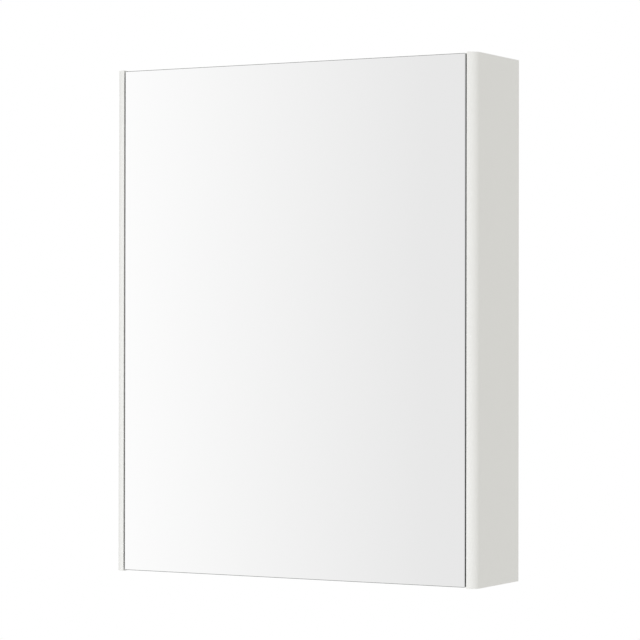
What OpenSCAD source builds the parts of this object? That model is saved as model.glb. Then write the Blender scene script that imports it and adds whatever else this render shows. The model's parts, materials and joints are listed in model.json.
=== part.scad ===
// Mirror cabinet for a wall: a white lacquered carcass with three glass shelves behind one mirror door.
// Sizes are in millimetres. X runs to the right, Y into the wall and Z up.
// The origin is on the wall, at the middle of the lower rear edge. The front faces -Y.
// The door hangs on two concealed four-bar hinges at its left edge, set between the side panels.

/* [Cabinet] */
// Overall width
cabinet_w = 600; // [450:10:800]
// Overall height
cabinet_h = 750; // [700:10:900]
// Overall depth, from the wall to the front
cabinet_d = 142; // [140:1:200]
// Thickness of the side panels
side_t = 15; // [15:0.5:19]
// Thickness of the top and bottom panels
panel_t = 15; // [15:0.5:19]
// Rounding of the outer front edge of each side panel
edge_r = 14; // [4:0.5:14]
// Thickness of the back panel
back_t = 3; // [3:0.5:5]
// Space between the back panel and the wall
back_gap = 14; // [13:0.5:18]
// Depth of the grooves that hold the back panel
groove_depth = 6; // [4:0.5:7]
// Room round the back panel in its grooves
groove_fit = 0.1; // [0.05:0.05:0.2]

/* [Dowels] */
// Radius of the dowels between the side panels and the top and bottom panels
dowel_r = 4; // [3:0.5:4]
// Length of a dowel
dowel_len = 30; // [26:1:34]
// How far a dowel enters a side panel
dowel_side_depth = 10; // [8:0.5:11]
// Room round a dowel in its hole
dowel_fit = 0.05; // [0.02:0.01:0.1]
// Distance from the wall to the rear dowels
dowel_rear = 35; // [30:1:45]
// Distance from the front of the cabinet to the front dowels
dowel_front = 45; // [40:1:55]

/* [Door] */
// Gap between the door and each side panel
door_gap = 2; // [1.7:0.1:3]
// How far the door stops short of the side panels at the top and bottom
door_short = 1.5; // [1:0.1:3]
// Thickness of the board that carries the mirror
board_t = 16; // [16:0.5:19]
// Thickness of the foam tape between the mirror and the board
tape_t = 1; // [0.8:0.1:1.5]
// Width of a strip of foam tape
tape_w = 25; // [15:1:40]
// Distance from the edge of the mirror to the nearest tape
tape_inset = 30; // [20:1:60]
// Thickness of the mirror
mirror_t = 4; // [3:0.5:5]
// Width of the polished bevel round the mirror's front
bevel_w = 0.8; // [0.5:0.1:1.5]
// Radius of the mirror's corners
mirror_corner_r = 2; // [1:0.5:4]
// Space between the closed door and the top and bottom panels, filled by the bumpers
bumper_t = 1.5; // [1:0.1:2]
// Radius of a bumper
bumper_r = 4; // [3:0.5:5]
// Width of the scoop in the bottom panel where fingers reach behind the door
scoop_w = 110; // [80:5:160]
// Depth of the scoop
scoop_d = 18; // [14:1:24]
// Distance from the right side panel to the middle of the scoop
scoop_from_side = 110; // [90:5:180]

/* [Shelves] */
// Thickness of the glass shelves
shelf_t = 5; // [4:0.5:8]
// Depth of the glass shelves
shelf_d = 88; // [76:1:92]
// Gap between a shelf and each side panel
shelf_gap = 1.5; // [1:0.5:3]
// Gap between a shelf and the back panel
shelf_back_gap = 1; // [0.5:0.5:3]
// Distance from the front and rear edges of a shelf to its pins
pin_inset = 16; // [12:1:24]
// Radius of a shelf pin's stud
pin_r = 2.5; // [2:0.25:3]
// How far a shelf pin's stud enters its hole
pin_depth = 8; // [6:0.5:9]
// Room round a stud in its hole
pin_fit = 0.05; // [0.02:0.01:0.1]
// Distance between shelf pin holes, up the panel
pin_pitch = 32; // [25:1:40]
// How far a shelf pin reaches under the glass
pin_reach = 10; // [8:0.5:14]
// Radius of the part of a shelf pin under the glass
peg_r = 3.5; // [3.25:0.25:4.5]
// Thickness of the clear pad between a pin and the glass
pad_t = 1; // [0.6:0.1:1.5]

/* [Hinges] */
// Distance from each end of the cabinet to the middle of a hinge
hinge_from_end = 100; // [90:5:125]
// Radius of the hinge cup
cup_r = 17.5; // [17:0.25:18]
// Depth of the hinge cup
cup_depth = 12.5; // [12:0.25:13]
// Distance from the edge of the door to the edge of the cup
cup_edge = 3; // [3:0.25:4.5]
// Thickness of the steel of the cup
cup_wall = 1; // [0.8:0.1:1]
// Room round the cup in the door
cup_fit = 0.1; // [0.05:0.05:0.2]
// Thickness of the hinge's stamped steel
steel_t = 1.2; // [1:0.1:1.2]
// Radius of the hinge pins
hinge_pin_r = 1.25; // [1.2:0.05:1.4]
// Running room round a hinge pin
hinge_fit = 0.05; // [0.03:0.01:0.09]
// Distance between the cup's screws
cup_screw_pitch = 48; // [46:1:52]
// Distance between the screws of the mounting plate
plate_screw_pitch = 32; // [32:1:36]

/* [Hangers] */
// Width of a hanger's housing, across the cabinet
hanger_w = 20; // [19:0.5:23]
// Height of a hanger's housing
hanger_h = 58; // [54:1:66]
// Depth of a hanger's housing
hanger_d = 40; // [38:1:46]
// Wall of a hanger's housing
hanger_wall = 2; // [1.5:0.25:2]
// Thickness of a hook
hook_t = 2.5; // [2:0.25:3]
// How far each hook moves up and down from the middle
hook_lift = 6; // [4:0.5:7]
// Space between the wall and the lip of a hook
hook_wall_gap = 3; // [2.5:0.5:4]

/* [Hidden] */
$fn = 48;
// Facets of the large rounds
fine = 96;
// How far a cut runs past the face that it opens
cut = 1;
// How far two pieces of one solid run into each other
bite = 0.5;
// How much deeper a blind hole is than what enters it
hole_spare = 0.5;

// Planes of the carcass and the door
inner_x = cabinet_w / 2 - side_t;
front_y = -cabinet_d;
door_t = board_t + tape_t + mirror_t;
door_back_y = front_y + door_t;
panel_front_y = door_back_y + bumper_t;
back_y = -back_gap - back_t;
inside_bottom = panel_t;
inside_top = cabinet_h - panel_t;
door_w = 2 * (inner_x - door_gap);
door_h = cabinet_h - 2 * door_short;
scoop_x = inner_x - scoop_from_side;
scoop_corner_r = 8;
bumper_x = inner_x - (scoop_from_side - scoop_w / 2) / 2;

// Shelves, with one compartment between each pair
shelf_count = 3;
shelf_rise = (inside_top - inside_bottom - shelf_count * shelf_t) / (shelf_count + 1) + shelf_t;
shelf_rear_y = back_y - shelf_back_gap;
shelf_front_y = shelf_rear_y - shelf_d;
shelf_corner_r = 2;
// Height of a pin's flat seat over the middle of the pin
peg_flat = 2;
pin_flange_t = 1;
pin_flange_r = 5;
pin_rows_y = [shelf_front_y + pin_inset, shelf_rear_y - pin_inset];
function shelf_z(i) = inside_bottom + i * shelf_rise - shelf_t;
function pin_z(i) = shelf_z(i) - pad_t - peg_flat;

// Hinges. A point is [u, v]: u goes right from the middle of the cup, v goes to the rear from the door's back
cup_x = -inner_x + door_gap + cup_edge + cup_r;
panel_u = -inner_x - cup_x;
hinge_z = [hinge_from_end, cabinet_h - hinge_from_end];
arm_outer_pivot = [22, 26];
door_outer_pivot = [-12.1, -3.3];
arm_inner_pivot = [20.1, 4.8];
door_inner_pivot = [-7.7, -5.7];
// The inner link's end at the door is open: its eye is wide enough for the pin to wander in
wander = 1;
wander_middle = [0.48, -0.79];
// Layers across the hinge, from the middle outwards: inner link, arm and cup ears, outer link
layer_gap = 0.3;
inner_link_half = 2.8;
ear_near = inner_link_half + layer_gap;
ear_far = ear_near + steel_t;
outer_near = ear_far + layer_gap;
outer_far = outer_near + steel_t;
// Half widths of the links' bars, and the metal round their pins
outer_bar_half = 2.3;
inner_bar_half = 1.9;
eye_r = hinge_pin_r + 1.35;
wide_eye_r = hinge_pin_r + wander + 1.2;
// Bends of the links and ends of the outer link's web, given along and beside the line from door to arm
outer_link_bends = [[2.7, 6.2], [14, 5], [20, 1]];
inner_link_bends = [[9.1, 7.1], [21.2, -1.2]];
outer_web = [[22, -1.6], [37, -1.7]];
// How far a pin stands out of the outer link
pin_end = 0.3;
// Mounting plate: a foot with two wings, and the rail that carries the arm
plate_t = 2.5;
plate_wing_half = 7;
plate_v = 37;
rail_half = 2.9;
rail_top = 8;
rail_v = [26, 70];
// Arm: two sides over the rail, joined by a spine of bent steel
spine_gap = 0.1;
spine_u = panel_u + rail_top + spine_gap + steel_t / 2;
arm_bend_u = panel_u + 14;
arm_foot = [panel_u + plate_t + 0.7, rail_v[0] - 1];
// The side's edge towards the door from its foot to its toe, and its rear edge on the way back to the rail
arm_near_edge = [arm_foot, [arm_bend_u, 23], [13.5, 29], [20.9, 21.5], [17.1, 5]];
arm_rear_edge = [[25, 3], [27, 26], [23.5, 31], [arm_bend_u, 45], [spine_u, rail_v[1]]];
// Middle line of the spine, which lies just inside that rear edge
arm_spine = [[24.4, 3.6], [26.4, 26], [23.1, 30.5], [arm_bend_u - 0.2, 44.5], [spine_u, 50],
    [spine_u, rail_v[1]]];
arm_outer_eye_r = 4.5;
arm_inner_eye_r = 3;
adjuster_r = 2;
adjuster_head_r = 3;
adjuster_v = [55, 65];
// Screws of the mounting plate and of the cup
plate_screw_r = 2.5;
plate_screw_depth = 11;
cup_screw_r = 1.75;
cup_screw_depth = 11;
cup_screw_shift = 6;
// Flange of the cup, the gap in it for the links, and the ears for the pins
flange_t = 1.2;
flange_rim = 1.5;
flange_wing_half = 6;
flange_gap_half = 9;
cup_rise = 0.2;
cup_corner_r = 2.5;
ear_r = 2.6;
ear_w = 8;
ear_lean = 2;

// Hangers, given for the right side
hanger_gap = 2;
hanger_top = inside_top - hanger_gap;
hanger_low = hanger_top - hanger_h;
hanger_front_y = back_y - hanger_d;
housing_corner_r = 3;
cavity_front_y = hanger_front_y + hanger_wall + housing_corner_r;
cavity_rear_y = back_y - hanger_wall;
hanger_peg_r = 5;
hanger_peg_depth = 10;
hanger_peg_spread = 32;
cover_t = 1.5;
cover_lip = 1;
slide_fit = 0.1;
// Hook: a plate whose lip hangs 14 mm down behind the wall plate, with a 7 mm mouth in front of the lip
hook_z = hanger_top - hanger_h / 2;
hook_x = inner_x - (hanger_w + hanger_wall) / 2;
hook_half = 5;
hook_roof = 1;
hook_lip = 14;
hook_lip_t = 3;
hook_mouth = 7;
hook_inset = 15;
hook_front_y = hanger_front_y + hook_inset;
slot_side = 0.8;
slot_end = 0.7;
// Carriage: a block that the spindle lifts and that the depth screw turns in
carriage_half = 10;
carriage_gap = 0.3;
carriage_inset = 7;
carriage_x = [inner_x - hanger_w + cover_lip + 2 * carriage_gap, inner_x - hanger_wall - carriage_gap];
carriage_y = [hanger_front_y + carriage_inset, back_y - carriage_inset];
carriage_slot_spare = 4;
spindle_r = 2;
spindle_inset = 3.1;
spindle_x = carriage_x[1] - spindle_inset;
spindle_y = (carriage_y[0] + carriage_y[1]) / 2;
depth_screw_inset = 3.2;
depth_screw_grip = 9;
depth_screw_x = carriage_x[0] + depth_screw_inset;
depth_screw_rear_y = carriage_y[0] + depth_screw_grip;

WHITE = "#f2f1ee";
BEECH = "#c9a574";
GLASS = "#bfd6cf";
SILVERED = "#d9dcdc";
STEEL = "#b9bcbf";
ZINC = "#a7a9ab";
PLASTIC = "#e6e6e3";
CLEAR = "#dfe6e6";
FOAM = "#3a3a3a";

// Draws its children on the right, or mirrored on the left
module handed(side) {
    if (side < 0) mirror([1, 0, 0]) children();
    else children();
}

// A flat bar with round ends, which is a hair slimmer than its ends so that the two cross cleanly
module bar(from, to, half) {
    span = to - from;
    hair = 0.02;
    waist = half - hair;
    translate(from) rotate(atan2(span[1], span[0])) translate([0, -waist]) square([norm(span), 2 * waist]);
    translate(from) circle(half);
    translate(to) circle(half);
}

// Bars along a row of points
module bars(points, half) {
    for (i = [0 : len(points) - 2]) bar(points[i], points[i + 1], half);
}

// A plate with an outline, between two heights
module slab(z0, z1) {
    translate([0, 0, z0]) linear_extrude(z1 - z0) children();
}

// The same plate above and below the middle
module both_slabs(near, far) {
    slab(near, far) children();
    slab(-far, -near) children();
}

// A rod along Y from one place to another
module rod_y(x, y0, y1, z, r) {
    translate([x, y0, z]) rotate([-90, 0, 0]) cylinder(r = r, h = y1 - y0);
}

// A rod along X from one place to another
module rod_x(x0, x1, y, z, r) {
    translate([x0, y, z]) rotate([0, 90, 0]) cylinder(r = r, h = x1 - x0);
}

// Carcass

module side_outline() {
    difference() {
        translate([inner_x, front_y]) square([side_t, cabinet_d]);
        translate([inner_x + side_t - edge_r, front_y - cut]) difference() {
            square([edge_r + cut, edge_r + cut]);
            translate([0, edge_r + cut]) circle(edge_r, $fn = fine);
        }
    }
}

module dowel_places() {
    for (y = [front_y + dowel_front, -dowel_rear], z = [panel_t / 2, cabinet_h - panel_t / 2])
        translate([0, y, z]) children();
}

// What a hook needs cut out of a wall from y to y + depth
module hook_slot(y, depth) {
    translate([hook_x - hook_t / 2 - slot_side, y - cut, hook_z - hook_lip - hook_lift - slot_end])
        cube([hook_t + 2 * slot_side, depth + 2 * cut, hook_lip + hook_half + 2 * (hook_lift + slot_end)]);
}

module side_panel() {
    groove_h = inside_top - inside_bottom + 2 * groove_depth;
    color(WHITE) difference() {
        slab(0, cabinet_h) side_outline();
        // Stopped groove for the back panel
        translate([inner_x - cut, back_y - groove_fit, inside_bottom - groove_depth])
            cube([groove_depth + cut, back_t + 2 * groove_fit, groove_h]);
        dowel_places()
            rod_x(inner_x - cut, inner_x + dowel_side_depth + hole_spare, 0, 0, dowel_r + dowel_fit);
        for (i = [1 : shelf_count], dz = [-pin_pitch, 0, pin_pitch], y = pin_rows_y)
            rod_x(inner_x - cut, inner_x + pin_depth + hole_spare, y, pin_z(i) + dz, pin_r + pin_fit);
        hanger_pegs(hanger_peg_depth + hole_spare, hanger_peg_r + dowel_fit);
    }
}

module side_panel_right() {
    side_panel();
}

module side_panel_left() {
    color(WHITE) difference() {
        handed(-1) side_panel();
        for (z = hinge_z, dz = [-plate_screw_pitch / 2, plate_screw_pitch / 2])
            rod_x(-inner_x - plate_screw_depth - hole_spare, -inner_x + cut, door_back_y + plate_v, z + dz,
                plate_screw_r + pin_fit);
    }
}

// A top or bottom panel, lying on z = 0 with its groove in the upper face
module cross_panel() {
    dowel_end = inner_x + dowel_side_depth - dowel_len;
    difference() {
        translate([-inner_x, panel_front_y, 0]) cube([2 * inner_x, -panel_front_y, panel_t]);
        translate([-inner_x - cut, back_y - groove_fit, panel_t - groove_depth])
            cube([2 * (inner_x + cut), back_t + 2 * groove_fit, groove_depth + cut]);
        for (y = [front_y + dowel_front, -dowel_rear], side = [-1, 1]) handed(side)
            rod_x(dowel_end - hole_spare, inner_x + cut, y, panel_t / 2, dowel_r + dowel_fit);
    }
}

module top_panel() {
    color(WHITE) translate([0, 0, cabinet_h]) mirror([0, 0, 1]) cross_panel();
}

module bottom_panel() {
    color(WHITE) difference() {
        cross_panel();
        // Finger scoop behind the lower edge of the door
        translate([scoop_x, panel_front_y]) slab(-cut, panel_t + cut) {
            half_w = scoop_w / 2;
            straight_d = scoop_d - scoop_corner_r;
            translate([-half_w, -cut]) square([scoop_w, straight_d + cut]);
            translate([-half_w + scoop_corner_r, 0]) square([scoop_w - 2 * scoop_corner_r, scoop_d]);
            for (side = [-1, 1])
                translate([side * (half_w - scoop_corner_r), straight_d]) circle(scoop_corner_r);
        }
    }
}

module back_panel() {
    reach = groove_depth - groove_fit;
    color(WHITE) difference() {
        translate([-inner_x - reach, back_y, inside_bottom - reach])
            cube([2 * (inner_x + reach), back_t, inside_top - inside_bottom + 2 * reach]);
        for (side = [-1, 1]) handed(side) hook_slot(back_y, back_t);
    }
}

module carcass_dowels() {
    chamfer = 1;
    outline = [[0, 0], [dowel_r - chamfer, 0], [dowel_r, chamfer], [dowel_r, dowel_len - chamfer],
        [dowel_r - chamfer, dowel_len], [0, dowel_len]];
    color(BEECH) for (side = [-1, 1]) handed(side) dowel_places()
        translate([inner_x + dowel_side_depth - dowel_len, 0, 0]) rotate([0, 90, 0])
            rotate_extrude() polygon(outline);
}

// Shelves

module glass_shelf(i) {
    r = shelf_corner_r;
    half_w = inner_x - shelf_gap;
    color(GLASS) slab(shelf_z(i), shelf_z(i) + shelf_t) {
        translate([-half_w + r, shelf_front_y]) square([2 * (half_w - r), shelf_d]);
        translate([-half_w, shelf_front_y + r]) square([2 * half_w, shelf_d - 2 * r]);
        for (side = [-1, 1], y = [shelf_front_y + r, shelf_rear_y - r])
            translate([side * (half_w - r), y]) circle(r);
    }
}

module shelf_lower() {
    glass_shelf(1);
}

module shelf_middle() {
    glass_shelf(2);
}

module shelf_upper() {
    glass_shelf(3);
}

module shelf_pin(i, y) {
    difference() {
        union() {
            rod_x(inner_x - pin_flange_t / 2, inner_x + pin_depth, y, pin_z(i), pin_r);
            rod_x(inner_x - pin_flange_t, inner_x, y, pin_z(i), pin_flange_r);
            rod_x(inner_x - pin_reach, inner_x - pin_flange_t / 2, y, pin_z(i), peg_r);
        }
        // Flat seat for the pad
        translate([inner_x - pin_reach - cut, y - peg_r - cut, pin_z(i) + peg_flat])
            cube([pin_reach + cut - pin_flange_t, 2 * (peg_r + cut), pin_flange_r]);
    }
}

module shelf_pins(i) {
    color(STEEL) for (side = [-1, 1], y = pin_rows_y) handed(side) shelf_pin(i, y);
}

module shelf_pins_lower() {
    shelf_pins(1);
}

module shelf_pins_middle() {
    shelf_pins(2);
}

module shelf_pins_upper() {
    shelf_pins(3);
}

module shelf_pads() {
    side_margin = 0.2;
    half = sqrt(peg_r * peg_r - peg_flat * peg_flat) - side_margin;
    margin = 0.5;
    color(CLEAR) for (i = [1 : shelf_count], side = [-1, 1], y = pin_rows_y) handed(side)
        translate([inner_x - pin_reach + margin, y - half, shelf_z(i) - pad_t])
            cube([pin_reach - pin_flange_t - 2 * margin, 2 * half, pad_t]);
}

// Hangers, drawn for the right side

// The two pegs of a hanger's housing, or their holes in the side panel
module hanger_pegs(depth, r) {
    for (dz = [-hanger_peg_spread / 2, hanger_peg_spread / 2])
        rod_x(inner_x - cut, inner_x + depth, hanger_front_y + hanger_d / 2, hook_z + dz, r);
}

module hanger_housing() {
    r = housing_corner_r;
    near_x = inner_x - hanger_w;
    slot_half = spindle_r + hole_spare;
    color(PLASTIC) difference() {
        union() {
            slab(hanger_low, hanger_top) {
                translate([near_x, hanger_front_y + r]) square([hanger_w, hanger_d - r]);
                translate([near_x + r, hanger_front_y]) square([hanger_w - r, hanger_d]);
                translate([near_x + r, hanger_front_y + r]) circle(r);
            }
            hanger_pegs(hanger_peg_depth, hanger_peg_r);
        }
        // Cavity, open towards the middle of the cabinet and closed by the cover
        translate([near_x - cut, cavity_front_y, hanger_low + hanger_wall])
            cube([hanger_w + cut - hanger_wall, cavity_rear_y - cavity_front_y, hanger_h - 2 * hanger_wall]);
        hook_slot(cavity_rear_y, hanger_wall);
        // Slot for the depth screw at the front
        translate([depth_screw_x - slot_half, hanger_front_y - cut, hook_z - hook_lift - slot_half])
            cube([2 * slot_half, cavity_front_y - hanger_front_y + 2 * cut, 2 * (hook_lift + slot_half)]);
        // Hole for the spindle in the floor
        translate([spindle_x, spindle_y, hanger_low - cut])
            cylinder(r = spindle_r + pin_fit, h = hanger_wall + 2 * cut);
    }
}

module hanger_housing_right() {
    hanger_housing();
}

module hanger_housing_left() {
    handed(-1) hanger_housing();
}

// A lid with a lip that stands in the mouth of the housing
module hanger_cover() {
    near_x = inner_x - hanger_w;
    lip_y = cavity_front_y + slide_fit;
    lip_d = cavity_rear_y - cavity_front_y - 2 * slide_fit;
    lip_h = hanger_h - 2 * (hanger_wall + slide_fit);
    color(PLASTIC) {
        translate([near_x - cover_t, hanger_front_y + housing_corner_r, hanger_low])
            cube([cover_t, hanger_d - housing_corner_r, hanger_h]);
        translate([near_x - bite, lip_y, hanger_low + hanger_wall + slide_fit]) difference() {
            cube([bite + cover_lip, lip_d, lip_h]);
            translate([0, cover_lip, cover_lip])
                cube([bite + cover_lip + cut, lip_d - 2 * cover_lip, lip_h - 2 * cover_lip]);
        }
    }
}

module hanger_cover_right() {
    hanger_cover();
}

module hanger_cover_left() {
    handed(-1) hanger_cover();
}

module hanger_spindle() {
    head_r = 3.2;
    head_h = 2.5;
    socket_r = 1.6;
    socket_h = 1.5;
    translate([spindle_x, spindle_y, hanger_low - slide_fit - head_h]) difference() {
        union() {
            cylinder(r = spindle_r, h = head_h + hanger_h - hanger_wall);
            cylinder(r = head_r, h = head_h);
        }
        // Hexagon socket
        translate([0, 0, -cut]) cylinder(r = socket_r, h = socket_h + cut, $fn = 6);
    }
}

module hanger_spindles() {
    color(STEEL) for (side = [-1, 1]) handed(side) hanger_spindle();
}

module hanger_carriage() {
    slot_front_y = hook_front_y - carriage_slot_spare;
    color(ZINC) difference() {
        translate([carriage_x[0], carriage_y[0], hook_z - carriage_half])
            cube([carriage_x[1] - carriage_x[0], carriage_y[1] - carriage_y[0], 2 * carriage_half]);
        // Slot that guides the hook
        translate([hook_x - hook_t / 2 - slide_fit, slot_front_y, hook_z - hook_half - slide_fit])
            cube([hook_t + 2 * slide_fit, carriage_y[1] + cut - slot_front_y, 2 * (hook_half + slide_fit)]);
        translate([spindle_x, spindle_y, hook_z - carriage_half - cut])
            cylinder(r = spindle_r + pin_fit, h = 2 * (carriage_half + cut));
        rod_y(depth_screw_x, carriage_y[0] - cut, depth_screw_rear_y + hole_spare, hook_z,
            spindle_r + pin_fit);
    }
}

module hanger_carriage_right() {
    hanger_carriage();
}

module hanger_carriage_left() {
    handed(-1) hanger_carriage();
}

module hanger_depth_screw() {
    sunk = 0.5;
    socket_r = 1.2;
    socket_h = 1.5;
    color(STEEL) difference() {
        rod_y(depth_screw_x, hanger_front_y + sunk, depth_screw_rear_y, hook_z, spindle_r);
        // Hexagon socket
        translate([depth_screw_x, hanger_front_y + sunk - cut, hook_z]) rotate([-90, 0, 0])
            cylinder(r = socket_r, h = socket_h + cut, $fn = 6);
    }
}

module hanger_depth_screw_right() {
    hanger_depth_screw();
}

module hanger_depth_screw_left() {
    handed(-1) hanger_depth_screw();
}

module hanger_hook() {
    rear_y = -hook_wall_gap;
    lip_y = rear_y - hook_lip_t;
    mouth_y = lip_y - hook_mouth;
    color(STEEL) translate([hook_x - hook_t / 2, 0, hook_z]) rotate([90, 0, 90]) linear_extrude(hook_t)
        polygon([[hook_front_y, -hook_half], [hook_front_y, hook_half], [rear_y, hook_half],
            [rear_y, -hook_lip], [lip_y, -hook_lip], [lip_y, -hook_roof], [mouth_y, -hook_roof],
            [mouth_y, -hook_half]]);
}

module hanger_hook_right() {
    hanger_hook();
}

module hanger_hook_left() {
    handed(-1) hanger_hook();
}

// Hinges

// Draws its children with u, v and the middle of the hinge as X, Y and Z
module at_hinge(i) {
    translate([cup_x, door_back_y, hinge_z[i]]) children();
}

// A pin through the hinge
module hinge_pin(place, half) {
    translate([place[0], place[1], -half]) cylinder(r = hinge_pin_r, h = 2 * half);
}

module disc(place, r) {
    translate(place) circle(r);
}

module hinge_plate() {
    rail_len = rail_v[1] - rail_v[0];
    foot_half = 2 * rail_half;
    screw_dz = plate_screw_pitch / 2;
    slab(-rail_half, rail_half) translate([panel_u + plate_t - bite, rail_v[0]])
        square([rail_top - plate_t + bite, rail_len]);
    difference() {
        translate([panel_u, 0, 0]) rotate([90, 0, 90]) linear_extrude(plate_t) {
            translate([rail_v[0], -foot_half]) square([rail_len, 2 * foot_half]);
            bar([plate_v, -screw_dz], [plate_v, screw_dz], plate_wing_half);
        }
        for (dz = [-screw_dz, screw_dz])
            rod_x(panel_u - cut, panel_u + plate_t + cut, plate_v, dz, plate_screw_r + pin_fit);
    }
}

module hinge_plate_lower() {
    color(ZINC) at_hinge(0) hinge_plate();
}

module hinge_plate_upper() {
    color(ZINC) at_hinge(1) hinge_plate();
}

module hinge_plate_screws() {
    head_r = 3.8;
    head_t = 1.6;
    color(STEEL) for (i = [0, 1], dz = [-plate_screw_pitch / 2, plate_screw_pitch / 2]) at_hinge(i) {
        rod_x(panel_u - plate_screw_depth, panel_u + plate_t + head_t / 2, plate_v, dz, plate_screw_r);
        rod_x(panel_u + plate_t, panel_u + plate_t + head_t, plate_v, dz, head_r);
    }
}

// The side of the arm, from its foot along the rail to its two pivots and back
module arm_side() {
    difference() {
        union() {
            polygon(concat(arm_near_edge, arm_rear_edge, [[arm_foot[0], rail_v[1]]]));
            disc(arm_outer_pivot, arm_outer_eye_r);
            disc(arm_inner_pivot, arm_inner_eye_r);
        }
        disc(arm_outer_pivot, hinge_pin_r);
        disc(arm_inner_pivot, hinge_pin_r);
    }
}

module hinge_arm() {
    both_slabs(ear_near, ear_far) arm_side();
    difference() {
        slab(-ear_far + steel_t / 2, ear_far - steel_t / 2) bars(arm_spine, steel_t / 2);
        for (v = adjuster_v) rod_x(spine_u - steel_t, spine_u + steel_t, v, 0, adjuster_r + pin_fit);
    }
}

module hinge_arm_lower() {
    color(STEEL) at_hinge(0) hinge_arm();
}

module hinge_arm_upper() {
    color(STEEL) at_hinge(1) hinge_arm();
}

module hinge_arm_pins() {
    color(STEEL) for (i = [0, 1]) at_hinge(i) {
        hinge_pin(arm_outer_pivot, outer_far + pin_end);
        hinge_pin(arm_inner_pivot, ear_far);
    }
}

module hinge_adjusting_screws() {
    head_t = 1.4;
    head_u = spine_u + steel_t / 2;
    color(STEEL) for (i = [0, 1], v = adjuster_v) at_hinge(i) {
        rod_x(panel_u + rail_top, head_u + head_t / 2, v, 0, adjuster_r);
        rod_x(head_u, head_u + head_t, v, 0, adjuster_head_r);
    }
}

// The points of a link that are given along and beside the line between its pivots
function beside_line(from, to, points) =
    let (d = (to - from) / norm(to - from)) [for (p = points) from + p[0] * d + p[1] * [d[1], -d[0]]];

// The outer link hooks round the edge of the cup, and its two sides are joined by a web at the rear
module outer_link() {
    p = door_outer_pivot;
    q = arm_outer_pivot;
    path = concat([p], beside_line(p, q, outer_link_bends), [q]);
    both_slabs(outer_near, outer_far) difference() {
        union() {
            bars(path, outer_bar_half);
            disc(p, eye_r);
            disc(q, eye_r);
        }
        disc(p, hinge_pin_r + hinge_fit);
        disc(q, hinge_pin_r + hinge_fit);
    }
    slab(-outer_near - steel_t / 2, outer_near + steel_t / 2)
        bars(beside_line(p, q, outer_web), steel_t / 2);
}

// The inner link's eye at the door is wide, because the pin wanders in it
module inner_link() {
    p = door_inner_pivot;
    q = arm_inner_pivot;
    path = concat([p + wander_middle], beside_line(p, q, inner_link_bends), [q]);
    slab(-inner_link_half, inner_link_half) difference() {
        union() {
            bars(path, inner_bar_half);
            disc(p + wander_middle, wide_eye_r);
            disc(q, eye_r);
        }
        disc(p + wander_middle, hinge_pin_r + wander);
        disc(q, hinge_pin_r + hinge_fit);
    }
}

module hinge_outer_link_lower() {
    color(STEEL) at_hinge(0) outer_link();
}

module hinge_outer_link_upper() {
    color(STEEL) at_hinge(1) outer_link();
}

module hinge_inner_link_lower() {
    color(ZINC) at_hinge(0) inner_link();
}

module hinge_inner_link_upper() {
    color(ZINC) at_hinge(1) inner_link();
}

// Half the section of a round vessel whose foot has a rounded edge
module half_section(r, h, corner_r) {
    square([r - corner_r, h]);
    translate([0, corner_r]) square([r, h - corner_r]);
    translate([r - corner_r, corner_r]) circle(corner_r);
}

// The cup: a pressed bowl with a flange on the door and two ears inside that hold the pins
module hinge_cup() {
    bore_r = cup_r - cup_wall;
    wing_z = cup_screw_pitch / 2;
    ear_foot = -cup_depth + cup_wall / 2;
    rotate([-90, 0, 0]) translate([0, 0, -cup_depth]) rotate_extrude($fn = fine) difference() {
        half_section(cup_r, cup_depth + cup_rise, cup_corner_r);
        translate([0, cup_wall]) half_section(bore_r, cup_depth + cut, cup_corner_r - cup_wall);
    }
    difference() {
        rotate([-90, 0, 0]) linear_extrude(flange_t) {
            circle(cup_r + flange_rim, $fn = fine);
            bar([cup_screw_shift, -wing_z], [cup_screw_shift, wing_z], flange_wing_half);
        }
        rotate([-90, 0, 0]) translate([0, 0, -cut]) cylinder(r = bore_r, h = flange_t + 2 * cut, $fn = fine);
        // Gap in the flange where the links fold over the edge
        translate([-cup_r - flange_rim - cut, -cut, -flange_gap_half])
            cube([cup_r / 2, flange_t + 2 * cut, 2 * flange_gap_half]);
        for (z = [-wing_z, wing_z]) rod_y(cup_screw_shift, -cut, flange_t + cut, z, cup_screw_r + pin_fit);
    }
    both_slabs(ear_near, ear_far) difference() {
        union() {
            translate([door_outer_pivot[0] - cut, ear_foot]) square([ear_w, door_inner_pivot[1] - ear_foot]);
            bar(door_outer_pivot, [door_outer_pivot[0] + ear_lean, -cup_depth + cup_wall + ear_r], ear_r);
            disc(door_inner_pivot, ear_r);
        }
        disc(door_outer_pivot, hinge_pin_r);
        disc(door_inner_pivot, hinge_pin_r);
    }
}

module hinge_cup_lower() {
    color(STEEL) at_hinge(0) hinge_cup();
}

module hinge_cup_upper() {
    color(STEEL) at_hinge(1) hinge_cup();
}

module hinge_cup_pins() {
    color(STEEL) for (i = [0, 1]) at_hinge(i) {
        hinge_pin(door_inner_pivot, ear_far);
        both_slabs(ear_near, outer_far + pin_end) disc(door_outer_pivot, hinge_pin_r);
    }
}

module hinge_cup_screws() {
    head_r = 3.2;
    head_t = 1.5;
    color(STEEL) for (i = [0, 1], dz = [-cup_screw_pitch / 2, cup_screw_pitch / 2]) at_hinge(i) {
        rod_y(cup_screw_shift, -cup_screw_depth, flange_t + head_t / 2, dz, cup_screw_r);
        rod_y(cup_screw_shift, flange_t, flange_t + head_t, dz, head_r);
    }
}

// Door

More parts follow.
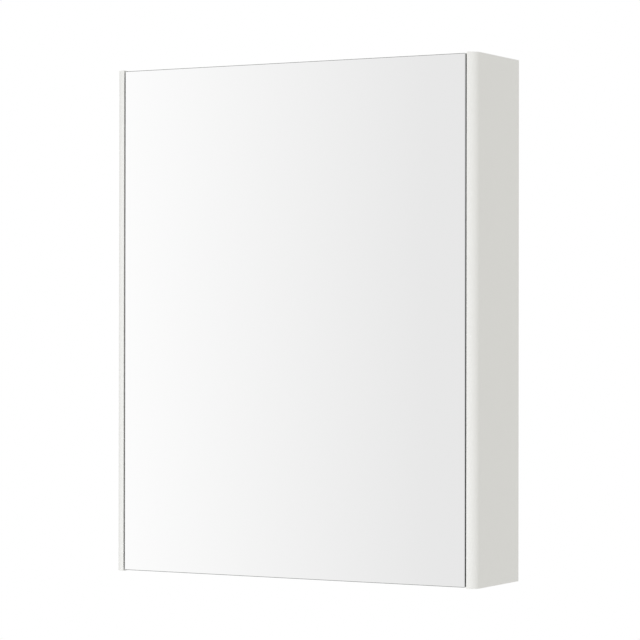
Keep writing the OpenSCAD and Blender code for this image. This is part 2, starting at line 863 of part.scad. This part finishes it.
module door_board() {
    hole_front_y = door_back_y - cup_screw_depth - hole_spare;
    color(WHITE) difference() {
        translate([-door_w / 2, door_back_y - board_t, door_short]) cube([door_w, board_t, door_h]);
        for (z = hinge_z) {
            rod_y(cup_x, door_back_y - cup_depth - cup_fit, door_back_y + cut, z, cup_r + cup_fit);
            for (dz = [-cup_screw_pitch / 2, cup_screw_pitch / 2])
                rod_y(cup_x + cup_screw_shift, hole_front_y, door_back_y + cut, z + dz,
                    cup_screw_r + pin_fit);
        }
    }
}

// The section of the mirror across a side of the given length, with both front edges bevelled
module bevelled(length) {
    polygon([[bevel_w, 0], [0, bevel_w], [0, mirror_t], [length, mirror_t], [length, bevel_w],
        [length - bevel_w, 0]]);
}

module mirror_glass() {
    r = mirror_corner_r;
    color(SILVERED) translate([-door_w / 2, front_y, door_short]) intersection() {
        slab(0, door_h) bevelled(door_w);
        translate([-cut, 0, 0]) rotate([90, 0, 90]) linear_extrude(door_w + 2 * cut)
            mirror([1, -1, 0]) bevelled(door_h);
        translate([0, mirror_t + cut, 0]) rotate([90, 0, 0]) linear_extrude(mirror_t + 2 * cut) {
            translate([r, -cut]) square([door_w - 2 * r, door_h + 2 * cut]);
            translate([-cut, r]) square([door_w + 2 * cut, door_h - 2 * r]);
            for (x = [r, door_w - r], z = [r, door_h - r]) translate([x, z]) circle(r);
        }
    }
}

module mirror_tapes() {
    strips = 4;
    pitch = (door_w - 2 * tape_inset - tape_w) / (strips - 1);
    color(FOAM) for (i = [0 : strips - 1])
        translate([-door_w / 2 + tape_inset + i * pitch, front_y + mirror_t, door_short + tape_inset])
            cube([tape_w, tape_t, door_h - 2 * tape_inset]);
}

module door_bumpers() {
    dome = 0.4;
    outline = [[0, 0], [bumper_r, 0], [bumper_r, bumper_t - dome], [bumper_r - dome, bumper_t],
        [0, bumper_t]];
    color(CLEAR) for (x = [-bumper_x, bumper_x], z = [panel_t / 2, cabinet_h - panel_t / 2])
        translate([x, door_back_y, z]) rotate([-90, 0, 0]) rotate_extrude() polygon(outline);
}

side_panel_left();
side_panel_right();
top_panel();
bottom_panel();
back_panel();
carcass_dowels();
shelf_lower();
shelf_middle();
shelf_upper();
shelf_pins_lower();
shelf_pins_middle();
shelf_pins_upper();
shelf_pads();
hanger_housing_left();
hanger_housing_right();
hanger_cover_left();
hanger_cover_right();
hanger_spindles();
hanger_carriage_left();
hanger_carriage_right();
hanger_depth_screw_left();
hanger_depth_screw_right();
hanger_hook_left();
hanger_hook_right();
hinge_plate_lower();
hinge_plate_upper();
hinge_plate_screws();
hinge_arm_lower();
hinge_arm_upper();
hinge_arm_pins();
hinge_adjusting_screws();
hinge_outer_link_lower();
hinge_outer_link_upper();
hinge_inner_link_lower();
hinge_inner_link_upper();
hinge_cup_lower();
hinge_cup_upper();
hinge_cup_pins();
hinge_cup_screws();
door_board();
mirror_glass();
mirror_tapes();
door_bumpers();
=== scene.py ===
"""The looks of a wall cabinet with one mirror door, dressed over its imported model.

Lengths are in metres, in the model's own frame: X to the right, Y into the wall, Z up. The front faces -Y.
"""

import json
import math

import bpy
from mathutils import Matrix, Vector


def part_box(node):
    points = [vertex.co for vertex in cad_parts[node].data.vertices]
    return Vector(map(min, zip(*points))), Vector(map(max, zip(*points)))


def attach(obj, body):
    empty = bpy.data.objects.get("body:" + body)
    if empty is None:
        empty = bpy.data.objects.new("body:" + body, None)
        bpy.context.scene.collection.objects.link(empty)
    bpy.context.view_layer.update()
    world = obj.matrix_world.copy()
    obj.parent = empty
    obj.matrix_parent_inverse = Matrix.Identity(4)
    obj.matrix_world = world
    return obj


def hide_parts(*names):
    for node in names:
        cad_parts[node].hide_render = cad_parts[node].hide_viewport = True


MM = 0.001

# A face counts as facing along an axis when its normal has at least this share along it
SQUARE = 0.9

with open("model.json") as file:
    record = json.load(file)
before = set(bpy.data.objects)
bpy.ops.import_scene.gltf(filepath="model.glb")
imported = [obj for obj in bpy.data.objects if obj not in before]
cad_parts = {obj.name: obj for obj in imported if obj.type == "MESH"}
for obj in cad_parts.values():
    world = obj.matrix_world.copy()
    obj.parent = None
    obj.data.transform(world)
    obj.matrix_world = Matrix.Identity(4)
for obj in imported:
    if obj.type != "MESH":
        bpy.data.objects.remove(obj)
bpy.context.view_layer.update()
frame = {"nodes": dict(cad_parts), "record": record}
bpy.ops.object.select_all(action="DESELECT")


def linear(hex_colour):
    """The linear colour, with alpha, that Blender's sockets take for an sRGB hex value."""
    channels = [int(hex_colour[i : i + 2], 16) / 255 for i in (1, 3, 5)]
    return [c / 12.92 if c <= 0.04045 else ((c + 0.055) / 1.055) ** 2.4 for c in channels] + [1.0]


def add(tree, kind, settings=None, inputs=None):
    """Adds a node with its settings, and its inputs as values or as another node's output."""
    made = tree.nodes.new(kind)
    for name, value in (settings or {}).items():
        setattr(made, name, value)
    for name, value in (inputs or {}).items():
        if isinstance(value, bpy.types.NodeSocket):
            tree.links.new(value, made.inputs[name])
        else:
            made.inputs[name].default_value = value
    return made


def new_material(name, settings):
    """A material of that name, with its tree and its shader, whose sockets take the settings."""
    made = bpy.data.materials.new(name)
    made.use_nodes = True
    shader = made.node_tree.nodes["Principled BSDF"]
    for socket, value in settings.items():
        shader.inputs[socket].default_value = value
    return made, made.node_tree, shader


def grain(tree, shader, size, depth, stretch=(1, 1, 1)):
    """A fine relief whose bumps are about size long and depth high. Returns its pattern, from 0 to 1."""
    place = add(tree, "ShaderNodeTexCoord")
    fit = add(tree, "ShaderNodeMapping", inputs={"Vector": place.outputs["Object"], "Scale": stretch})
    noise = add(
        tree,
        "ShaderNodeTexNoise",
        inputs={"Vector": fit.outputs["Vector"], "Scale": 1 / size, "Detail": 2.0},
    )
    bump = add(
        tree,
        "ShaderNodeBump",
        inputs={"Height": noise.outputs["Fac"], "Strength": 1.0, "Distance": depth},
    )
    tree.links.new(bump.outputs["Normal"], shader.inputs["Normal"])
    return noise.outputs["Fac"]


def blotches(tree, size):
    """A slow pattern, from 0 to 1, whose patches are about size long."""
    place = add(tree, "ShaderNodeTexCoord")
    noise = add(
        tree,
        "ShaderNodeTexNoise",
        inputs={"Vector": place.outputs["Object"], "Scale": 1 / size, "Detail": 3.0},
    )
    return noise.outputs["Fac"]


def facing(tree, axis, both_ways=False):
    """1 where the surface faces along the axis, or against it too if both ways count, and 0 elsewhere."""
    place = add(tree, "ShaderNodeTexCoord")
    split = add(tree, "ShaderNodeSeparateXYZ", inputs={"Vector": place.outputs["Normal"]})
    share = split.outputs[axis]
    if both_ways:
        share = add(tree, "ShaderNodeMath", {"operation": "ABSOLUTE"}, {0: share}).outputs[0]
    faces = add(tree, "ShaderNodeMath", {"operation": "GREATER_THAN"}, {0: share, 1: SQUARE})
    return faces.outputs[0]


# Finishes

# Width of the bevel that the model has round the mirror's front
MIRROR_BEVEL = 0.8 * MM


def white_lacquer():
    """Sprayed satin lacquer on fibreboard: an even white with a soft, broad sheen and a faint orange peel."""
    made, tree, shader = new_material("white satin lacquer", {"Base Color": linear("#f3f3f1"), "IOR": 1.48})
    grain(tree, shader, size=2.2 * MM, depth=0.004 * MM)
    sheen = add(
        tree,
        "ShaderNodeMapRange",
        inputs={"Value": blotches(tree, 60 * MM), "To Min": 0.34, "To Max": 0.42},
    )
    tree.links.new(sheen.outputs["Result"], shader.inputs["Roughness"])
    return made


def painted_hardboard():
    """Thin fibreboard: painted white inside, and primed a warmer, duller white at the rear."""
    made, tree, shader = new_material("painted hardboard", {"Roughness": 0.5, "IOR": 1.48})
    grain(tree, shader, size=1.0 * MM, depth=0.012 * MM)
    fibres = add(
        tree,
        "ShaderNodeMix",
        {"data_type": "RGBA"},
        {0: blotches(tree, 2.5 * MM), 6: linear("#ebe8e1"), 7: linear("#dfdbd1")},
    )
    rear = facing(tree, "Y")
    colour = add(
        tree,
        "ShaderNodeMix",
        {"data_type": "RGBA"},
        {0: rear, 6: linear("#f2f1ee"), 7: fibres.outputs[2]},
    )
    tree.links.new(colour.outputs[2], shader.inputs["Base Color"])
    return made


def raw_beech():
    """Turned beech: a pale tan with short brown flecks along the grain."""
    made, tree, shader = new_material("raw beech", {"Roughness": 0.7, "IOR": 1.5})
    flecks = grain(tree, shader, size=1.2 * MM, depth=0.03 * MM, stretch=(0.12, 1, 1))
    colour = add(
        tree, "ShaderNodeMix", {"data_type": "RGBA"}, {0: flecks, 6: linear("#d2b183"), 7: linear("#a9824f")}
    )
    tree.links.new(colour.outputs[2], shader.inputs["Base Color"])
    return made


def shelf_glass():
    """Float glass with polished edges: clear through its faces and green where light comes out of an edge."""
    made, tree, shader = new_material(
        "clear float glass", {"Roughness": 0.0, "IOR": 1.52, "Transmission Weight": 1.0}
    )
    faces = facing(tree, "Z", both_ways=True)
    colour = add(
        tree, "ShaderNodeMix", {"data_type": "RGBA"}, {0: faces, 6: linear("#8fc9b4"), 7: linear("#f1faf6")}
    )
    tree.links.new(colour.outputs[2], shader.inputs["Base Color"])
    return made


def mirror():
    """Silvered float glass: a clean reflection, dark ground edges, and a painted darker reflection at the top
    and bottom.

    The bevels at those two edges are painted a flat grey. This is a painted reflection that stands in for the
    darker surroundings they would mirror.
    """
    made, tree, shader = new_material("silvered float glass", {"IOR": 1.52})
    low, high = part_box("mirror_glass")
    middle_z = (low.z + high.z) / 2
    place = add(tree, "ShaderNodeTexCoord")
    split = add(tree, "ShaderNodeSeparateXYZ", inputs={"Vector": place.outputs["Object"]})
    front = add(
        tree, "ShaderNodeMath", {"operation": "LESS_THAN"}, {0: split.outputs["Y"], 1: low.y + MIRROR_BEVEL}
    )
    rise = add(tree, "ShaderNodeMath", {"operation": "SUBTRACT"}, {0: split.outputs["Z"], 1: middle_z})
    away = add(tree, "ShaderNodeMath", {"operation": "ABSOLUTE"}, {0: rise.outputs[0]})
    # Painted reflection: 0 in the bands of bevel at the top and bottom, which get painted grey in place of a
    # darker mirrored surrounding
    outside_painted_bands = add(
        tree,
        "ShaderNodeMath",
        {"operation": "LESS_THAN"},
        {0: away.outputs[0], 1: high.z - middle_z - MIRROR_BEVEL},
    )
    silver = add(
        tree, "ShaderNodeMath", {"operation": "MULTIPLY"}, {0: front.outputs[0], 1: outside_painted_bands.outputs[0]}
    )
    # Grey #707373 on the front is the painted reflection on the top and bottom bevels, and #4a4d4c is the
    # ground edges' own dark grey
    edge = add(
        tree,
        "ShaderNodeMix",
        {"data_type": "RGBA"},
        {0: front.outputs[0], 6: linear("#4a4d4c"), 7: linear("#707373")},
    )
    colour = add(
        tree,
        "ShaderNodeMix",
        {"data_type": "RGBA"},
        {0: silver.outputs[0], 6: edge.outputs[2], 7: linear("#fdfdfd")},
    )
    shine = add(
        tree, "ShaderNodeMapRange", inputs={"Value": silver.outputs[0], "To Min": 0.3, "To Max": 0.01}
    )
    tree.links.new(colour.outputs[2], shader.inputs["Base Color"])
    tree.links.new(silver.outputs[0], shader.inputs["Metallic"])
    tree.links.new(shine.outputs["Result"], shader.inputs["Roughness"])
    return made


def nickel_steel():
    """Stamped steel with a bright nickel plate: a warm grey that mirrors softly, dulled in patches."""
    made, tree, shader = new_material(
        "nickel-plated stamped steel", {"Base Color": linear("#cbc9c4"), "Metallic": 1.0}
    )
    grain(tree, shader, size=1.5 * MM, depth=0.002 * MM)
    dulling = add(
        tree,
        "ShaderNodeMapRange",
        inputs={"Value": blotches(tree, 9 * MM), "To Min": 0.18, "To Max": 0.32},
    )
    tree.links.new(dulling.outputs["Result"], shader.inputs["Roughness"])
    return made


def zinc_casting():
    """Die-cast zinc under nickel: duller and a little grainier than the stampings."""
    made, tree, shader = new_material(
        "nickel-plated zinc casting", {"Base Color": linear("#b9b8b5"), "Metallic": 1.0, "Roughness": 0.36}
    )
    grain(tree, shader, size=0.8 * MM, depth=0.006 * MM)
    return made


def zinc_screw():
    """Bright zinc plate on cold-headed screws: a cool, slightly blue grey with a very fine grain."""
    made, tree, shader = new_material(
        "bright zinc-plated screws", {"Base Color": linear("#c4c6c8"), "Metallic": 1.0, "Roughness": 0.28}
    )
    grain(tree, shader, size=0.5 * MM, depth=0.003 * MM)
    return made


def hook_steel():
    """Sheared steel plate with zinc: cool grey, with the faint lines of the rolled sheet."""
    made, tree, shader = new_material(
        "zinc-plated steel plate", {"Base Color": linear("#bfc3c6"), "Metallic": 1.0, "Roughness": 0.34}
    )
    grain(tree, shader, size=0.6 * MM, depth=0.004 * MM, stretch=(1, 0.1, 1))
    return made


def white_plastic():
    """Moulded ABS: a slightly greyer white than the lacquer, with a fine spark-eroded texture."""
    made, tree, shader = new_material(
        "moulded white ABS", {"Base Color": linear("#ebebe9"), "Roughness": 0.45, "IOR": 1.53}
    )
    grain(tree, shader, size=0.5 * MM, depth=0.01 * MM)
    return made


def foam_tape():
    """Closed-cell foam tape: matt charcoal with open pores along its cut edges."""
    made, tree, shader = new_material("black foam tape", {"Base Color": linear("#3a3a3a"), "Roughness": 0.9})
    grain(tree, shader, size=0.4 * MM, depth=0.05 * MM)
    return made


def clear_silicone():
    """Soft moulded silicone: milky, and a little see-through, with a faintly dusty surface."""
    made, tree, shader = new_material(
        "clear silicone",
        {"Base Color": linear("#eef3f3"), "Roughness": 0.25, "IOR": 1.41, "Transmission Weight": 0.2},
    )
    grain(tree, shader, size=0.7 * MM, depth=0.004 * MM)
    return made


FINISHES = {
    "white_lacquer": white_lacquer(),
    "dowel_wood": raw_beech(),
    "shelf_glass": shelf_glass(),
    "mirror": mirror(),
    "nickel_steel": nickel_steel(),
    "zinc_casting": zinc_casting(),
    "screw_steel": zinc_screw(),
    "hook_steel": hook_steel(),
    "white_plastic": white_plastic(),
    "foam_tape": foam_tape(),
    "clear_rubber": clear_silicone(),
}

# Edges

# How far the sharp edges of each finish are broken
EDGES = {
    "white_lacquer": 0.5 * MM,
    "dowel_wood": 0.2 * MM,
    "shelf_glass": 0.4 * MM,
    "mirror": 0.1 * MM,
    "nickel_steel": 0.12 * MM,
    "zinc_casting": 0.2 * MM,
    "screw_steel": 0.12 * MM,
    "hook_steel": 0.2 * MM,
    "white_plastic": 0.3 * MM,
    "foam_tape": 0.1 * MM,
    "clear_rubber": 0.15 * MM,
}

# Pieces whose slots or folds leave room only for a finer break
FINE_EDGES = {
    "hanger_housing_left": 0.15 * MM,
    "hanger_housing_right": 0.15 * MM,
    "hinge_outer_link_lower": 0.04 * MM,
    "hinge_outer_link_upper": 0.04 * MM,
}

# Stampings whose folds and cheeks meet so closely that the rounding of their edges stops short of the nearest
# other edge
CROWDED = ("hinge_arm_lower", "hinge_arm_upper")

# Points of the model closer than this are one point, and faces that turn less than this are one flat
SAME_POINT = 0.002 * MM
SAME_FLAT = math.radians(0.5)

# Edges that turn more than this are sharp
SHARP = math.radians(40)

# The air left round the pads, which lets light in and out of the glass that lies on them
PAD_AIR = 0.02 * MM


def soften(piece, width, crowded):
    """Rounds a piece's sharp edges over that width and keeps its flat faces flat.

    Where the edges are crowded, the rounding stops short of the nearest other edge.
    """
    piece.data.polygons.foreach_set("use_smooth", [True] * len(piece.data.polygons))
    bevel = piece.modifiers.new("soften the edges", "BEVEL")
    bevel.width = width
    bevel.segments = 2
    bevel.limit_method = "ANGLE"
    bevel.angle_limit = SHARP
    bevel.use_clamp_overlap = crowded
    bevel.loop_slide = False
    shade = piece.modifiers.new("keep the flats flat", "WEIGHTED_NORMAL")
    shade.keep_sharp = True


def dress(node, slot):
    """Gives a model's node its finish, joins its faces and softens its edges."""
    piece = frame["nodes"][node]
    piece.data.materials.clear()
    piece.data.materials.append(FINISHES[slot])
    weld = piece.modifiers.new("join the faces", "WELD")
    weld.merge_threshold = SAME_POINT
    flats = piece.modifiers.new("one face to each flat", "DECIMATE")
    flats.decimate_type = "DISSOLVE"
    flats.angle_limit = SAME_FLAT
    if slot == "clear_rubber":
        thin = piece.modifiers.new("leave a hair of air", "DISPLACE")
        thin.mid_level = 0
        thin.strength = -PAD_AIR
    soften(piece, FINE_EDGES.get(node, EDGES[slot]), node in CROWDED)


for part in frame["record"]["subparts"]:
    dress(part["node"], part["material_slot"])

# The back is of a thinner board than the rest of the carcass, so it gets that board's finish
frame["nodes"]["back_panel"].data.materials[0] = painted_hardboard()

# Screws, which get the driver's cross that the model leaves out

# The cross, as shares of the head: the reach and width of its wings by the radius, its depth by the thickness
CROSS_REACH = 0.54
CROSS_WIDTH = 0.24
CROSS_DEPTH = 1.2

# The size of the cross at its foot, as a share of its size at the top
CROSS_FOOT = 0.45

# How far each screw of a set of four happened to stop turning, in degrees
SCREW_TURNS = (17, 62, 38, 5)


def choose(piece, kind, test):
    """Opens a piece in edit mode, with only the vertices, edges or faces selected that pass a test."""
    bpy.context.view_layer.objects.active = piece
    bpy.ops.object.mode_set(mode="EDIT")
    bpy.ops.mesh.select_mode(type=kind)
    bpy.ops.mesh.select_all(action="DESELECT")
    bpy.ops.object.mode_set(mode="OBJECT")
    kinds = {"VERT": piece.data.vertices, "EDGE": piece.data.edges, "FACE": piece.data.polygons}
    for item in kinds[kind]:
        item.select = test(item)
    bpy.ops.object.mode_set(mode="EDIT")


def sink_cross(screw, head_r, head_t):
    """Sinks a driver's cross into a screw's head, as two slots that narrow towards their foot."""
    depth = CROSS_DEPTH * head_t
    # The slots start this far over the head, so that they cut through its top
    spill = 0.5 * MM
    for turn in (0, math.pi / 2):
        bpy.ops.mesh.primitive_cube_add(size=1, location=(0, 0, head_t + (spill - depth) / 2))
        slot = bpy.context.object
        slot.scale = (2 * CROSS_REACH * head_r, CROSS_WIDTH * head_r, depth + spill)
        slot.rotation_euler.z = turn
        bpy.ops.object.transform_apply(location=True, rotation=True, scale=True)
        choose(slot, "VERT", lambda vertex: vertex.co.z < head_t - depth / 2)
        bpy.ops.transform.resize(value=(CROSS_FOOT, CROSS_FOOT, 1), center_override=(0, 0, 0))
        bpy.ops.object.mode_set(mode="OBJECT")
        cut = screw.modifiers.new("driver slot", "BOOLEAN")
        cut.operation = "DIFFERENCE"
        cut.solver = "EXACT"
        cut.object = slot
        bpy.context.view_layer.objects.active = screw
        bpy.ops.object.modifier_apply(modifier=cut.name)
        bpy.data.objects.remove(slot)


def model_screw(head_r, head_t, shank_r, length):
    """A cross-recessed screw at the origin: a domed head over z = 0, and a shank below it."""
    bpy.ops.object.select_all(action="DESELECT")
    bpy.ops.mesh.primitive_cylinder_add(vertices=40, radius=head_r, depth=head_t, location=(0, 0, head_t / 2))
    screw = bpy.context.object
    bpy.ops.object.transform_apply(location=True, rotation=True, scale=True)
    choose(screw, "FACE", lambda face: face.normal.z < -SQUARE)
    bpy.ops.mesh.inset(thickness=head_r - shank_r)
    bpy.ops.mesh.extrude_region_move(TRANSFORM_OT_translate={"value": (0, 0, -length)})
    bpy.ops.object.mode_set(mode="OBJECT")
    points = screw.data.vertices
    choose(screw, "EDGE", lambda edge: min(points[i].co.z for i in edge.vertices) > head_t / 2)
    bpy.ops.mesh.bevel(offset=head_t / 2, segments=4, affect="EDGES")
    bpy.ops.object.mode_set(mode="OBJECT")
    sink_cross(screw, head_r, head_t)
    screw.data.materials.append(FINISHES["screw_steel"])
    return screw


def place_screws(name, node, body, screw, places, axis):
    """Sets copies of a screw with their heads along an axis, as one piece that stands for a model's node."""
    stand = Vector(axis).to_track_quat("Z", "Y").to_matrix().to_4x4()
    bpy.ops.object.select_all(action="DESELECT")
    for place, angle in zip(places, SCREW_TURNS):
        copy = screw.copy()
        copy.data = screw.data.copy()
        bpy.context.collection.objects.link(copy)
        turn = Matrix.Rotation(math.radians(angle), 4, "Z")
        copy.matrix_world = Matrix.Translation(place) @ stand @ turn
        copy.select_set(True)
    bpy.data.objects.remove(screw)
    bpy.context.view_layer.objects.active = copy
    bpy.ops.object.join()
    piece = bpy.context.object
    piece.name = name
    bpy.ops.object.transform_apply(location=True, rotation=True, scale=True)
    bpy.ops.object.shade_smooth_by_angle(angle=math.radians(35))
    bpy.ops.object.select_all(action="DESELECT")
    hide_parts(node)
    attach(piece, body)


def pairs(low, high, head_r, pitch):
    """Heights of two screws to a hinge, a pitch apart, in a box that holds the heads of both hinges."""
    lowest = low.z + head_r
    highest = high.z - head_r
    return [lowest, lowest + pitch, highest - pitch, highest]


def make_plate_screws():
    """Screws of the mounting plates, two to a hinge, with their heads to the right."""
    low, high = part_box("hinge_plate_screws")
    head_r = (high.y - low.y) / 2
    head_t = 1.6 * MM
    shank_r = 2.5 * MM
    pitch = 32 * MM
    under = high.x - head_t
    screw = model_screw(head_r, head_t, shank_r, under - low.x)
    places = [(under, low.y + head_r, z) for z in pairs(low, high, head_r, pitch)]
    place_screws("plate_screws", "hinge_plate_screws", "cabinet", screw, places, (1, 0, 0))


def make_cup_screws():
    """Screws of the cups, two to a hinge, with their heads to the rear."""
    low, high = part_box("hinge_cup_screws")
    head_r = (high.x - low.x) / 2
    head_t = 1.5 * MM
    shank_r = 1.75 * MM
    pitch = 48 * MM
    under = high.y - head_t
    screw = model_screw(head_r, head_t, shank_r, under - low.y)
    places = [(low.x + head_r, under, z) for z in pairs(low, high, head_r, pitch)]
    place_screws("cup_screws", "hinge_cup_screws", "door", screw, places, (0, 1, 0))


def make_adjusting_screws():
    """Adjusting screws of the arms, one behind the other on each hinge, with their heads to the right."""
    low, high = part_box("hinge_adjusting_screws")
    head_r = 3 * MM
    head_t = 1.4 * MM
    shank_r = 2 * MM
    under = high.x - head_t
    screw = model_screw(head_r, head_t, shank_r, under - low.x)
    columns = (low.y + head_r, high.y - head_r)
    places = [(under, y, z) for z in (low.z + head_r, high.z - head_r) for y in columns]
    place_screws("adjusting_screws", "hinge_adjusting_screws", "cabinet", screw, places, (1, 0, 0))


make_plate_screws()
make_cup_screws()
make_adjusting_screws()

# Stage

# The floor's height and radius
FLOOR_Z = -1.1
FLOOR_R = 6.0

# How far out the floor starts to brighten towards its rim, and where it has become as white as the backdrop
FLOOR_LIT_R = 0.35 * FLOOR_R
FLOOR_WHITE_R = 0.95 * FLOOR_R

# The floor's own light, near its middle and in what mirrors it
FLOOR_GLOW = 0.36
FLOOR_MIRRORED_GLOW = 0.15

# How far the photograph was taken round the right of the cabinet
PHOTO_TURN = math.radians(29)

# Tones of the studio wall, from -1 at the far left to 1 at the far right of the photograph's mirrored view
WALL_TONES = (
    (-0.8, "#d8d8d8"),
    (-0.15, "#fefefe"),
    (-0.0705, "#fefefe"),
    (0.0392, "#eaeaea"),
    (0.6, "#cacaca"),
)

# Heights, as the sine of the angle from level, between which the wall runs out into the mirrored floor
WALL_FOOT = (-0.13, -0.24)

# The lamp's place, and the point near the cabinet's middle that it faces
LAMP_PLACE = (-0.2, -3.4, -0.3)
LAMP_AIM = (0, -0.07, 0.375)
LAMP_SIZE = 1.6
LAMP_WATTS = 33

# The camera's place, its turn about X, Y and Z in degrees, and its lens and sensor in mm
CAMERA_PLACE = (1.923, -3.516, 0.358)
CAMERA_TURN = (90.259, -0.082, 29.017)
CAMERA_LENS = 150.9
CAMERA_SENSOR = 36


def make_floor():
    """A pale floor well below the cabinet, which fades to the white backdrop towards its rim."""
    bpy.ops.mesh.primitive_circle_add(vertices=96, radius=FLOOR_R, fill_type="NGON", location=(0, 0, FLOOR_Z))
    floor = bpy.context.object
    floor.name = "floor"
    made, tree, shader = new_material("pale matt floor", {"Base Color": linear("#f0f1f2"), "Roughness": 0.9})
    place = add(tree, "ShaderNodeTexCoord")
    away = add(tree, "ShaderNodeVectorMath", {"operation": "LENGTH"}, {0: place.outputs["Object"]})
    # Its own light brings the lit floor up to white where it is seen, and its shadows stay near the middle
    glow = add(
        tree,
        "ShaderNodeMapRange",
        {"interpolation_type": "SMOOTHSTEP"},
        {
            "Value": away.outputs["Value"],
            "From Min": FLOOR_LIT_R,
            "From Max": FLOOR_WHITE_R,
            "To Min": FLOOR_GLOW,
            "To Max": 1.0,
        },
    )
    # What mirrors shows it a little greyer, so that a mirror stands out from it
    path = add(tree, "ShaderNodeLightPath")
    mirrored = add(
        tree,
        "ShaderNodeMath",
        {"operation": "MULTIPLY"},
        {0: path.outputs["Is Glossy Ray"], 1: FLOOR_MIRRORED_GLOW},
    )
    strength = add(
        tree,
        "ShaderNodeMath",
        {"operation": "MULTIPLY_ADD"},
        {0: path.outputs["Is Camera Ray"], 1: glow.outputs["Result"], 2: mirrored.outputs[0]},
    )
    shader.inputs["Emission Color"].default_value = linear("#ffffff")
    tree.links.new(strength.outputs[0], shader.inputs["Emission Strength"])
    # From below the floor is clear, so that the cabinet's underside can be looked at
    side = add(tree, "ShaderNodeNewGeometry")
    clear = add(tree, "ShaderNodeBsdfTransparent")
    surface = add(
        tree,
        "ShaderNodeMixShader",
        inputs={0: side.outputs["Backfacing"], 1: shader.outputs[0], 2: clear.outputs[0]},
    )
    tree.links.new(surface.outputs[0], tree.nodes["Material Output"].inputs["Surface"])
    floor.data.materials.append(made)


def make_world():
    """Even white light from all round, and a softly graded studio wall in what mirrors."""
    world = bpy.data.worlds.new("studio")
    bpy.context.scene.world = world
    world.use_nodes = True
    tree = world.node_tree
    tree.nodes.clear()
    path = add(tree, "ShaderNodeLightPath")
    place = add(tree, "ShaderNodeTexCoord")
    # The wall is brightest where the mirror's left part shows it, and falls off to both sides
    across = add(
        tree,
        "ShaderNodeVectorMath",
        {"operation": "DOT_PRODUCT"},
        {0: place.outputs["Generated"], 1: (math.cos(PHOTO_TURN), -math.sin(PHOTO_TURN), 0)},
    )
    shade = add(
        tree,
        "ShaderNodeMapRange",
        inputs={"Value": across.outputs["Value"], "From Min": -1.0, "From Max": 1.0},
    )
    wall = add(tree, "ShaderNodeValToRGB", inputs={"Fac": shade.outputs["Result"]})
    # A new ramp has a black and a white stop, and one of them stays until the wall's own are in
    stops = wall.color_ramp.elements
    stops.remove(stops[0])
    for turned, tone in WALL_TONES:
        stops.new((turned + 1) / 2).color = linear(tone)
    stops.remove(stops[-1])
    # Below the wall the tone runs out into that of the mirrored floor
    rise = add(tree, "ShaderNodeSeparateXYZ", inputs={"Vector": place.outputs["Generated"]})
    foot = add(
        tree,
        "ShaderNodeMapRange",
        {"interpolation_type": "SMOOTHSTEP"},
        {"Value": rise.outputs["Z"], "From Min": WALL_FOOT[0], "From Max": WALL_FOOT[1]},
    )
    studio = add(
        tree,
        "ShaderNodeMix",
        {"data_type": "RGBA"},
        {0: foot.outputs["Result"], 6: wall.outputs["Color"], 7: linear("#e3e3e0")},
    )
    lit = add(
        tree,
        "ShaderNodeMix",
        {"data_type": "RGBA"},
        {0: path.outputs["Is Glossy Ray"], 6: linear("#dddcd8"), 7: studio.outputs[2]},
    )
    # Seen directly or through glass, it is the plain white backdrop
    plain = add(
        tree,
        "ShaderNodeMath",
        {"operation": "MAXIMUM"},
        {0: path.outputs["Is Camera Ray"], 1: path.outputs["Is Transmission Ray"]},
    )
    colour = add(
        tree,
        "ShaderNodeMix",
        {"data_type": "RGBA"},
        {0: plain.outputs[0], 6: lit.outputs[2], 7: linear("#ffffff")},
    )
    back = add(tree, "ShaderNodeBackground", inputs={"Color": colour.outputs[2], "Strength": 1.0})
    add(tree, "ShaderNodeOutputWorld", inputs={"Surface": back.outputs[0]})


def make_lamp():
    """A large soft lamp in front of the cabinet, low and a little to the left, that no mirror shows."""
    bpy.ops.object.light_add(type="AREA", location=LAMP_PLACE)
    lamp = bpy.context.object
    lamp.name = "soft lamp"
    lamp.data.energy = LAMP_WATTS
    lamp.data.color = linear("#f8f9ff")[:3]
    lamp.data.size = LAMP_SIZE
    lamp.visible_glossy = False
    lamp.rotation_euler = (Vector(LAMP_AIM) - lamp.location).to_track_quat("-Z", "Y").to_euler()


def make_camera():
    """The photograph's camera: level with the cabinet's middle, about 29 degrees round to its right."""
    bpy.ops.object.camera_add(location=CAMERA_PLACE)
    camera = bpy.context.object
    camera.rotation_euler = [math.radians(turn) for turn in CAMERA_TURN]
    camera.data.sensor_width = CAMERA_SENSOR
    camera.data.lens = CAMERA_LENS
    bpy.context.scene.camera = camera


make_floor()
make_world()
make_lamp()
make_camera()
bpy.context.scene.view_settings.view_transform = "Standard"
